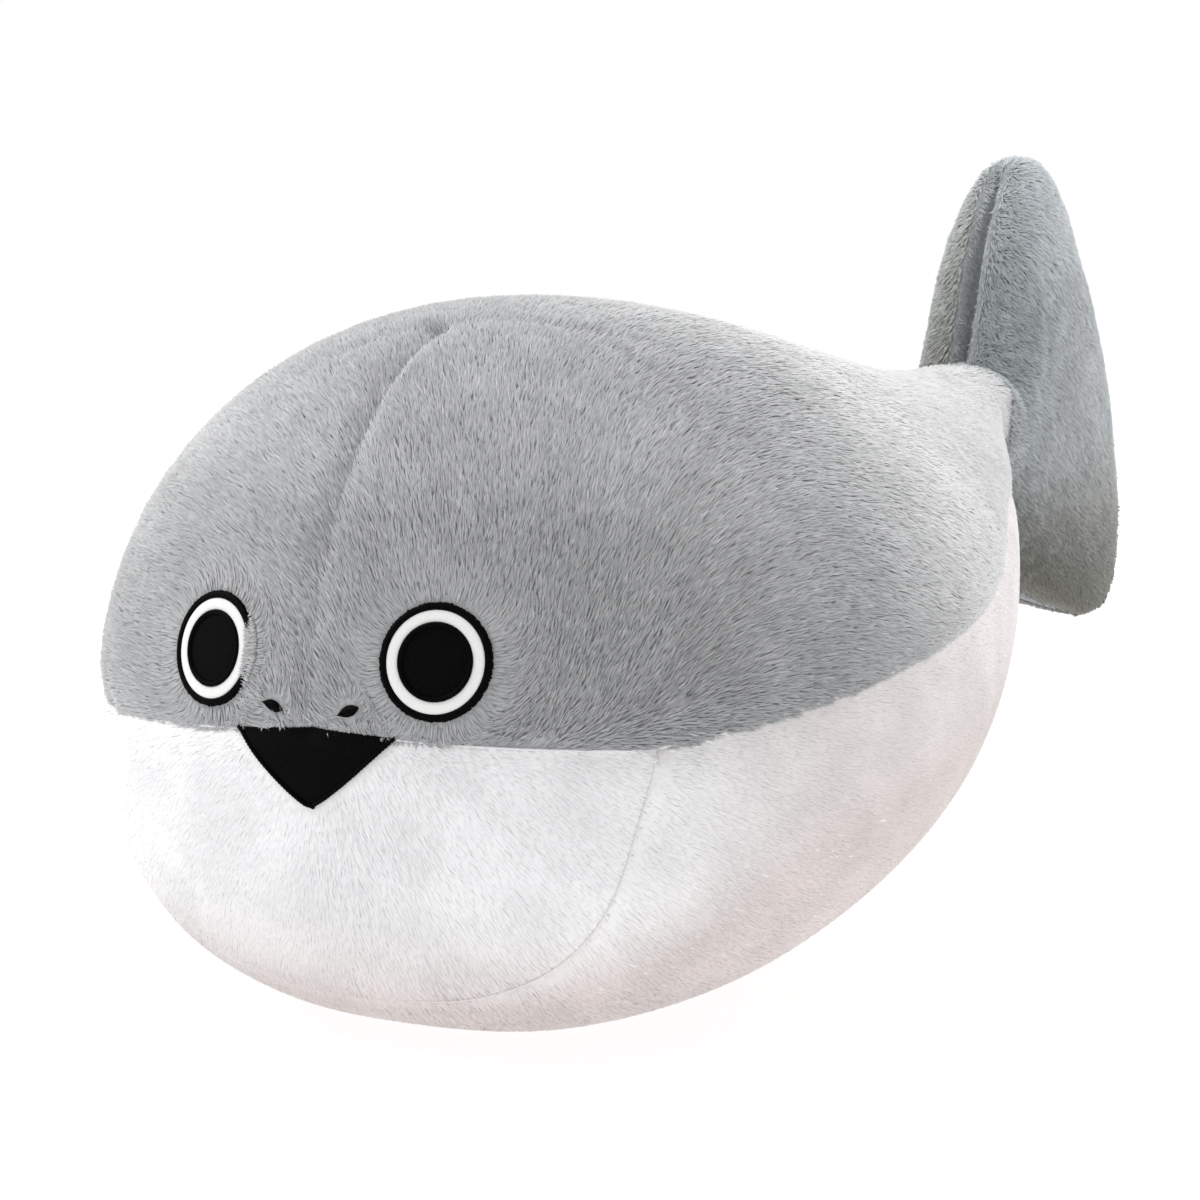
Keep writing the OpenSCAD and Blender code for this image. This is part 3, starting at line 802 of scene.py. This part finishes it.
def make_body_pile():
    total = 700000
    angle, turn = scatter(total, 0.6, END_ANGLE)
    d = direction(angle, turn)
    grey = is_grey(d, angle, turn)
    keep = (grey | (RNG.random(total) < WHITE_SHARE)) & ~in_mouth(d, -0.2)
    angle, turn, grey = angle[keep], turn[keep], grey[keep]
    root = on_grid(SKIN, angle, turn)
    normal = unit(on_grid(SKIN_NORMAL, angle, turn))
    moved = drift(root)
    along = body_lay(root, normal, angle, turn, grey, moved)
    along, pressed, keep = part_round_patches(root, along, grey)
    length, lift, width = body_tuft_sizes(root, normal, angle, grey, pressed, moved)
    tone, tint_and_shade = body_tones(normal, angle, grey, pressed, moved)
    left, ahead = root[:, 0] > 0, angle < crown_line(turn)
    low = side_of(turn) < 45
    back, belly = grey & ~ahead, ~grey & ~ahead
    groups = (
        ("face_pile_left", grey & ahead & left, GREY_PILE, "face_panel_left"),
        ("face_pile_right", grey & ahead & ~left, GREY_PILE, "face_panel_right"),
        ("flank_pile_left", back & left & low, GREY_PILE, "back_panel"),
        ("flank_pile_right", back & ~left & low, GREY_PILE, "back_panel"),
        ("back_pile_left", back & left & ~low, GREY_PILE, "back_panel"),
        ("back_pile_right", back & ~left & ~low, GREY_PILE, "back_panel"),
        ("chin_pile", ~grey & ahead, WHITE_PILE, "chin_panel"),
        ("belly_pile_left", belly & left, WHITE_PILE, "belly_panel"),
        ("belly_pile_right", belly & ~left, WHITE_PILE, "belly_panel"),
    )
    for name, chosen, material, node_name in groups:
        k = chosen & keep
        obj = tufts(name, root[k], along[k], normal[k], length[k], lift[k], width[k], tone[k], tint_and_shade[k],
                    material)
        piece(obj, "body", [node_name])


def make_mouth_fringe():
    """Pile of the face hanging over the top of the mouth."""
    n = 1000
    across = RNG.uniform(-1.06, 1.06, n)
    side = across * MOUTH_ANGLE
    d = facing(side, front_rise(side) + RNG.uniform(0.0, 0.7, n))
    root = skin(d)
    level = np.zeros(n)
    hang = np.stack([0.35 * np.sign(across) + RNG.normal(0, 0.35, n), level, level - 1], 1)
    length = RNG.uniform(1.4, 2.2, n) + 1.2 * (wobble(root, 5) > 0.4)
    obj = tufts("mouth_fringe", root, hang, skin_normal(d), length, RNG.uniform(8, 22, n),
                RNG.uniform(0.30, 0.5, n), RNG.uniform(0.3, 0.55, n), level, GREY_PILE)
    piece(obj, "body", ())


def make_eye_fringe():
    """Pile of the middle of the face lying over the near rim of the right eye."""
    n = 600
    t = np.radians(RNG.normal(4, 17, n))
    rim = EYE_RIM_R + RNG.uniform(-0.3, 1.6, n)
    d = land(np.stack([np.cos(t), np.sin(t)], 1) * rim[:, None], EYES["right"])
    over = skin(EYES["right"]) - skin(d) + RNG.normal(0, 3.5, (n, 3))
    length = RNG.uniform(2.4, 3.8, n) * (1 - 0.4 * np.abs(t / 0.6) ** 3)
    obj = tufts("eye_fringe", skin(d, 0.3), over, skin_normal(d), length, RNG.uniform(20, 30, n),
                RNG.uniform(0.34, 0.56, n), RNG.uniform(0.35, 0.65, n), np.zeros(n), GREY_PILE)
    piece(obj, "body", ())


# ---- Stitched patches: eyes, nostrils and mouth ----

def land(flat, start):
    """Directions of the skin points that lie over flat (x, y) places in the plane at start."""
    origin = body_point(start)
    side = unit(np.cross(start, (0, 0, 1)))
    over = np.cross(side, start)
    e = 0.004  # small step for the slopes of the surface
    a, b = ((body_point(unit(start + e * way)) - body_point(unit(start - e * way))) / (2 * e)
            for way in (side, over))
    normal = unit(np.cross(a, b))
    normal = normal * np.sign(dot(normal, start))
    x_axis = unit(np.cross((0, 0, 1), normal))
    y_axis = np.cross(normal, x_axis)
    slopes = [[dot(slope, axis) for slope in (a, b)] for axis in (x_axis, y_axis)]
    basis = np.linalg.inv(np.array(slopes))
    d = np.broadcast_to(start, flat.shape[:-1] + (3,)).copy()
    for _ in range(14):
        gap = body_point(d) - origin
        miss = flat - np.stack([dot(gap, x_axis), dot(gap, y_axis)], -1)
        step = miss @ basis.T
        d = unit(d + step[..., :1] * side + step[..., 1:] * over)
    return d


def ring_patch(name, start, radii, lifts, material, ribs=0, rib_height=0.0, ragged=0.0):
    """Round patch or ring over the skin, in place of the CAD node of the same name.

    Each radius has its lift over the skin. Ribs are radial satin stitches.
    """
    cols = 2 * ribs if ribs else 120
    turn = np.arange(cols) * 2 * np.pi / cols
    rows = len(radii)
    edge = 1 + ragged * RNG.normal(0, 1, cols) / radii[-1]
    r = np.array(radii)[:, None] * np.where(np.arange(rows)[:, None] >= rows - 2, edge, 1)
    flat = np.stack([r * np.cos(turn), r * np.sin(turn)], -1)
    lift = np.array(lifts)[:, None]
    height = lift + rib_height * (np.arange(cols) % 2)[None, :] * (lift > 0.3)
    points = skin(land(flat, start), height)
    faces = grid_faces(rows, cols, True)
    points = points.reshape(-1, 3)
    if radii[0] < 0.5:
        # The middle is a fan of triangles, written as quads with a doubled corner
        points = np.concatenate([points, points[:cols].mean(0)[None]])
        own, after = np.arange(cols), (np.arange(cols) + 1) % cols
        faces = np.concatenate([faces, np.stack([np.full(cols, len(points) - 1), after, own, own], 1)])
    return piece(new_object(name, points, faces[:, ::-1], material), "body", [name])


def make_eyes():
    rim, white, pupil = EYE_RIM_R, EYE_WHITE_R, EYE_PUPIL_R
    inner = pupil - PUPIL_BORDER
    for side, start in EYES.items():
        ring_patch(f"eye_rim_{side}", start,
                   [white - 0.3, white, white + 0.35, rim - 0.4, rim, rim + 0.1],
                   [0.0, 0.75, 1.05, 1.0, 0.6, -0.2],
                   BLACK_STITCH, ribs=190, rib_height=0.10, ragged=0.12)
        ring_patch(f"eye_white_{side}", start,
                   [pupil - 0.3, pupil, pupil + 0.3, pupil + 1.2,
                    white - 1.2, white - 0.3, white, white + 0.1],
                   [0.0, 0.6, 0.8, 0.85, 0.85, 0.8, 0.6, 0.0],
                   WHITE_STITCH, ribs=170, rib_height=0.05)
        ring_patch(f"pupil_border_{side}", start,
                   [inner - 0.2, inner, inner + 0.35, pupil - 0.35, pupil, pupil + 0.1],
                   [0.1, 0.9, 1.25, 1.25, 0.9, 0.0],
                   BLACK_STITCH, ribs=130, rib_height=0.12)
        ring_patch(f"eye_pupil_{side}", start, [0.4, *np.linspace(1.2, inner, 9)],
                   [0.75] * 9 + [0.6], BLACK_STITCH)


def make_nostrils():
    """Raised almonds of satin stitch, each between two arcs of the same radius."""
    half_length, half_width = NOSTRIL_LENGTH / 2, NOSTRIL_WIDTH / 2
    radius = (half_length ** 2 + half_width ** 2) / (2 * half_width)
    along, across = np.meshgrid(np.linspace(-1, 1, 27), np.linspace(-1, 1, 9), indexing="ij")
    x = along * half_length
    y = (np.sqrt(radius * radius - x ** 2) - (radius - half_width)) * across
    stitches = 0.12 * (np.arange(27) % 2)[:, None]
    height = 1.5 * (1 - 0.75 * across ** 2) + stitches
    for side, start in NOSTRILS.items():
        tilt = math.radians(20 if side == "left" else -20)
        flat = np.stack([x * math.cos(tilt) - y * math.sin(tilt),
                         x * math.sin(tilt) + y * math.cos(tilt)], -1)
        d = land(flat, start)
        points, faces = shell(skin(d, height), skin(d, -0.3))
        obj = new_object(f"nostril_{side}", points, faces, BLACK_STITCH)
        piece(obj, "body", [f"nostril_{side}"])


def mouth_direction(across, down):
    """Place in the mouth: -1 to 1 from corner to corner, and 0 to 1 from its top to its V."""
    side = across * MOUTH_ANGLE
    top = front_rise(side) + 0.15
    return facing(side, mix(top, top * np.abs(across) ** MOUTH_BOW, down))


def make_mouth():
    across, down = np.meshgrid(np.linspace(-0.99, 0.99, 70), np.linspace(0, 1, 26), indexing="ij")
    d = mouth_direction(across, down)
    padding = 1 - np.exp(-np.minimum(1 - down, 1 - np.abs(across)) * 9)
    stitches = 0.05 * (np.arange(26) % 2)[None, :]
    height = 0.25 + 0.45 * padding + stitches
    points, faces = shell(skin(d, height), skin(d, -0.5))
    obj = new_object("mouth_patch", points, faces[:, ::-1], BLACK_STITCH)
    piece(obj, "body", ["mouth_patch"])
    line = skin(mouth_direction(np.linspace(-1, 1, 121), np.ones(121)), 0.55)
    rope("mouth_edging", line, 0.55, BLACK_STITCH, ["mouth_edging"])


def rope(name, line, radius, material, nodes, body="body"):
    """Sewing thread along a line: a tube that swells and narrows with the stitches."""
    n = len(line)
    along = unit(np.gradient(line, axis=0))
    side = unit(np.cross(along, (0.31, 0.2, 0.93)))  # across the thread and a fixed tilted direction
    out = unit(np.cross(side, along))
    sides = 8
    turn = np.arange(sides) * 2 * np.pi / sides
    swell = radius * (1 + 0.18 * np.cos(np.arange(n) * np.pi))[:, None, None]
    ring = np.cos(turn)[None, :, None] * side[:, None] + np.sin(turn)[None, :, None] * out[:, None]
    points = (line[:, None] + ring * swell).reshape(-1, 3)
    obj = new_object(name, points, grid_faces(n, sides, True)[:, ::-1], material)
    return piece(obj, body, nodes)


def resample(line, step):
    """The same line with points a step apart."""
    s = np.concatenate([[0], np.cumsum(np.linalg.norm(np.diff(line, axis=0), axis=1))])
    at = np.linspace(0, s[-1], max(4, int(s[-1] / step)))
    return np.stack([np.interp(at, s, line[:, k]) for k in range(3)], 1)


def make_seam_threads():
    t = np.linspace(0.02, 0.99, 100)
    forehead = skin(forehead_direction(t), -0.1)
    rope("forehead_stitches", resample(forehead, STITCH), 0.4, GREY_THREAD, ["forehead_seam"])
    turn = np.linspace(-180, 180, 500)
    shows = (smooth((np.cos(np.radians(turn + 35)) - 0.45) / 0.4)
             * (1 - smooth((np.sin(np.radians(turn)) - 0.02) / 0.15)))
    crown = skin(crown_direction(turn), -0.45 + 0.6 * shows)
    rope("crown_stitches", resample(crown, STITCH), 0.35, PALE_THREAD, ["crown_seam"])
    angle = np.linspace(JUNCTION_ANGLE, END_ANGLE - 1, 260)
    rear = skin(direction(angle, side_turn(angle)), 0.05)
    nose = skin(nose_line(np.linspace(-1, 1, 120)), 0.05)
    whole = np.concatenate([flip(rear)[::-1], nose[1:-1], rear])
    rope("colour_stitches", resample(whole, STITCH), 0.4, WHITE_THREAD, ["colour_seam"])


# ---- Tail ----

TAIL_MID, TAIL_HALF_HEIGHT = (TAIL_LOW + TAIL_HIGH) / 2, (TAIL_HIGH - TAIL_LOW) / 2


def curve(table, key):
    """Smooth curve through (key, value) rows."""
    k, v = table.T
    i = np.clip(np.searchsorted(k, key, side="left") - 1, 0, len(k) - 2)
    before, after = np.maximum(np.arange(len(k)) - 1, 0), np.minimum(np.arange(len(k)) + 1, len(k) - 1)
    slope = (v[after] - v[before]) / (k[after] - k[before])
    w = k[i + 1] - k[i]
    t = (key - k[i]) / w
    return ((2 * t ** 3 - 3 * t ** 2 + 1) * v[i] + (t ** 3 - 2 * t ** 2 + t) * w * slope[i]
            + (3 * t ** 2 - 2 * t ** 3) * v[i + 1] + (t ** 3 - t ** 2) * w * slope[i + 1])


def tail_point(level, around, depth=PILE_ROOM):
    """Point of the tail's left face: level and around are angles as in the CAD model."""
    z = TAIL_MID + (TAIL_HALF_HEIGHT - 0.4 * depth) * np.sin(np.radians(level))
    inside = np.clip(z, TAIL_LOW, TAIL_HIGH)
    front = curve(TAIL_FRONT, inside)
    chord = curve(TAIL_REAR, inside) - front
    back = chord * (1 - np.cos(np.radians(around))) / 2
    u = np.sin(np.radians(level))
    r = (TAIL_HALF_THICKNESS - depth) * np.sqrt(np.maximum(0, 1 - np.abs(u) ** 2.2))
    nose = np.minimum(r, chord / 2)
    t = (back - nose) / (chord - nose)
    ahead = r * np.sqrt(np.maximum(0, 1 - (1 - np.minimum(back / nose, 1)) ** 2))
    behind = r * np.maximum(0, np.cos(np.pi / 2 * t)) ** 0.8
    x = np.where(back < nose, ahead, behind)
    groove = np.where(around < 90, 6.5 * np.exp(-(x / 2.4) ** 2), -1.8 * np.exp(-(x / 3.0) ** 2))
    y = front + back + groove * np.clip(chord / 70, 0, 1)
    return np.stack([x, y, z], -1)


def tail_frame(level, around, side):
    """Points and outward normals of the left face, or of the right one where side is negative."""
    p = tail_point(level, around)
    e = 0.4  # small step in degrees for the slopes of the surface
    dl = tail_point(np.minimum(level + e, 89), around) - tail_point(level - e, around)
    da = tail_point(level, np.minimum(around + e, 180)) - tail_point(level, np.maximum(around - e, 0))
    normal = unit(np.cross(da, dl))
    normal *= np.where(normal[:, :1] < 0, -1, 1)
    if side < 0:
        p, normal = flip(p), flip(normal)
    return p, normal


CUFF_MID, CUFF_SQUARENESS = 27.0, 2.3
CUFF_FIRST, CUFF_LAST = 195.0, 238.0


def cuff_point(y, turn, lift=0.0):
    """Cloth sleeve from the section of the body's end to an oval round the tail's root."""
    s = (y - CUFF_FIRST) / (CUFF_LAST - CUFF_FIRST)
    half_width = 25.3 - 2.8 * smooth(s * 1.2) + lift
    half_height = 25.5 + 6 * s * s + lift
    t = np.radians(turn)
    k = squared_off(t, CUFF_SQUARENESS)
    end = body_point(direction(END_ANGLE, turn), PILE_ROOM + 0.2 - lift)
    w = smooth((y - 198) / 16)
    x = mix(end[..., 0], half_width * np.cos(t) * k, w)
    z = mix(end[..., 2], CUFF_MID + half_height * np.sin(t) * k, w)
    return np.stack([x, y, z], -1)


def tail_tufts(name, p, normal, along, length, body="tail", nodes=(), valley=0.0):
    """Tufts of the tail's cloth. On the faces they are shorter in the front valley and painted darker
    there (painted shade); the fin is painted lighter at its top and trailing edge (painted light) and
    darker and browner low down (painted shade).
    """
    n, moved = len(p), drift(p)
    low = smooth((25 - p[:, 2]) / 75)
    chord_end = curve(TAIL_REAR, np.clip(p[:, 2], TAIL_LOW, TAIL_HIGH)) - p[:, 1]
    edge = np.exp(-(np.maximum(chord_end, 0) / 14) ** 2)
    sunk = valley * np.exp(-(p[:, 0] / 3.0) ** 2) * (chord_end > 60)
    size = length * RNG.uniform(0.65, 1.2, n) * (1 - 0.25 * edge) * (1 - 0.5 * sunk)
    lift = np.clip(17 + 5 * low - 6 * edge + 5 * wobble(moved + 30, 12) + RNG.normal(0, 4, n), 5, 36)
    width = RNG.uniform(0.42, 0.70, n) * 1
    # Painted light at the top of the fin and at its trailing edge, painted shade low down and in the
    # front valley.
    crest = smooth((p[:, 2] - 60) / 55)
    far = smooth(-p[:, 0] / 6) * np.exp(-(p[:, 1] - p[:, 2] / 4 - 200) / 25)
    tone = (0.70 + 0.20 * edge - 0.80 * low + 0.42 * crest - 0.15 * sunk
            + 0.13 * wobble(moved, 13) + 0.08 * wobble(moved + 9, 5)
            + RNG.normal(0, 0.10 + 0.10 * np.clip(far, 0, 1), n))
    # The tint is painted shade low on the fin; it is also stronger on the right face towards its root.
    obj = tufts(name, p, along, normal, size, lift, width, np.clip(tone, 0.12, 1),
                np.clip(low + 0.4 * far, 0, 1), TAIL_PILE)
    return piece(obj, body, nodes)


TAIL_LEVELS, TAIL_AROUND = np.meshgrid(np.linspace(-89.5, 89.5, 120), np.linspace(0, 180, 121),
                                       indexing="ij")


def tail_pile(side, way, areas):
    """Pile of one face, combed rearward and down in slow swirls."""
    count = 62000
    cell = RNG.choice(areas.size, count, p=areas.ravel() / areas.sum())
    i, j = cell // areas.shape[1], cell % areas.shape[1]
    level_step = TAIL_LEVELS[1, 0] - TAIL_LEVELS[0, 0]
    around_step = TAIL_AROUND[0, 1] - TAIL_AROUND[0, 0]
    level = TAIL_LEVELS[i, 0] + RNG.random(count) * level_step
    around = TAIL_AROUND[0, j] + RNG.random(count) * around_step
    p, normal = tail_frame(level, around, way)
    swirl = np.radians(-50 + 22 * wobble(p, 60) + 16 * wobble(drift(p) + 4, 9)
                       + RNG.normal(0, 12, count))[:, None]
    along = np.cos(swirl) * (0, 1, 0) + np.sin(swirl) * (0, 0, 1)
    tail_tufts(f"tail_pile_{side}", p, normal, along, 3.9, nodes=[f"tail_panel_{side}"], valley=1.0)


def make_tail_faces():
    outer = tail_point(TAIL_LEVELS, TAIL_AROUND)
    inner = tail_point(TAIL_LEVELS, TAIL_AROUND, PILE_ROOM + BACKING)
    up, back = outer[1:, :-1] - outer[:-1, :-1], outer[:-1, 1:] - outer[:-1, :-1]
    areas = np.linalg.norm(np.cross(up, back), axis=-1)
    for side, way in (("left", 1), ("right", -1)):
        a, b = (outer, inner) if way > 0 else (flip(outer)[::-1], flip(inner)[::-1])
        points, faces = shell(a[:, ::-1], b[:, ::-1])
        obj = new_object(f"tail_cloth_{side}", points, faces, TAIL_CLOTH)
        piece(obj, "tail", [f"tail_panel_{side}"])
        tail_pile(side, way, areas)


def make_tail_filling():
    core = (slice(24, -24), slice(30, -30))
    face = tail_point(TAIL_LEVELS[core], TAIL_AROUND[core], TAIL_FILL_DEPTH)
    points, faces = shell(face[:, ::-1], flip(face)[:, ::-1])
    obj = piece(new_object("tail_fill", points, faces, FILL), "tail", ["tail_stuffing"])


def make_tail_edge():
    """Thread round the fin's outline, and the pile that stands out past most of it."""
    level = np.linspace(-88, 88, 200)
    front, rear = tail_point(level, np.zeros(200)), tail_point(level[::-1], np.full(200, 180.0))
    edge = np.concatenate([front, rear, front[:1]])
    rope("tail_edge_stitches", resample(edge, STITCH), 0.35, GREY_THREAD, ["tail_edge_seam"],
         "tail")
    spot = RNG.integers(0, len(edge) - 1, 6000)
    spot = spot[(edge[spot, 2] < -8) | (edge[spot, 2] > 118) | (edge[spot, 1] > 270)]
    n = len(spot)
    p = mix(edge[spot], edge[spot + 1], RNG.random((n, 1)))
    outward = np.cross(edge[spot + 1] - edge[spot], (1, 0, 0)) * (1, -1, -1)
    outward = unit(outward * np.sign(dot(outward, p - (0, 285, TAIL_MID)))[:, None])
    normal = unit(outward + RNG.uniform(-0.8, 0.8, (n, 1)) * (1, 0, 0))
    along = np.array([0, 0.6, -0.8]) + RNG.normal(0, 0.3, (n, 3))
    tail_tufts("tail_edge_pile", p, normal, along, 3.4)


def make_cuff():
    y, turn = np.meshgrid(np.linspace(CUFF_FIRST, CUFF_LAST, 44), np.arange(0, 360, 4), indexing="ij")
    sleeve = cuff_point(y, turn).reshape(-1, 3)
    obj = new_object("tail_cuff", sleeve, grid_faces(44, 90, True)[:, ::-1], TAIL_CLOTH)
    piece(obj, "cuff", ())
    count = 11000
    y = RNG.uniform(196.5, CUFF_LAST - 2, count)
    turn = RNG.uniform(-180, 180, count)
    p = cuff_point(y, turn)
    normal = unit(cuff_point(y, turn, 1.0) - p)
    along = np.array([0, 1.0, -0.5]) + RNG.normal(0, 0.25, (count, 3))
    tail_tufts("tail_cuff_pile", p, normal, along, 3.0, body="cuff")
    ring = cuff_point(np.full(120, 199.6), np.linspace(0, 360, 120), 0.2)
    rope("tail_root_stitches", ring, 0.45, GREY_THREAD, ["tail_root_seam"])


# ---- Everything ----

make_camera()
make_stage()
make_body_cloth()
make_body_pile()
make_mouth_fringe()
make_eye_fringe()
make_eyes()
make_nostrils()
make_mouth()
make_seam_threads()
make_tail_faces()
make_tail_filling()
make_tail_edge()
make_cuff()
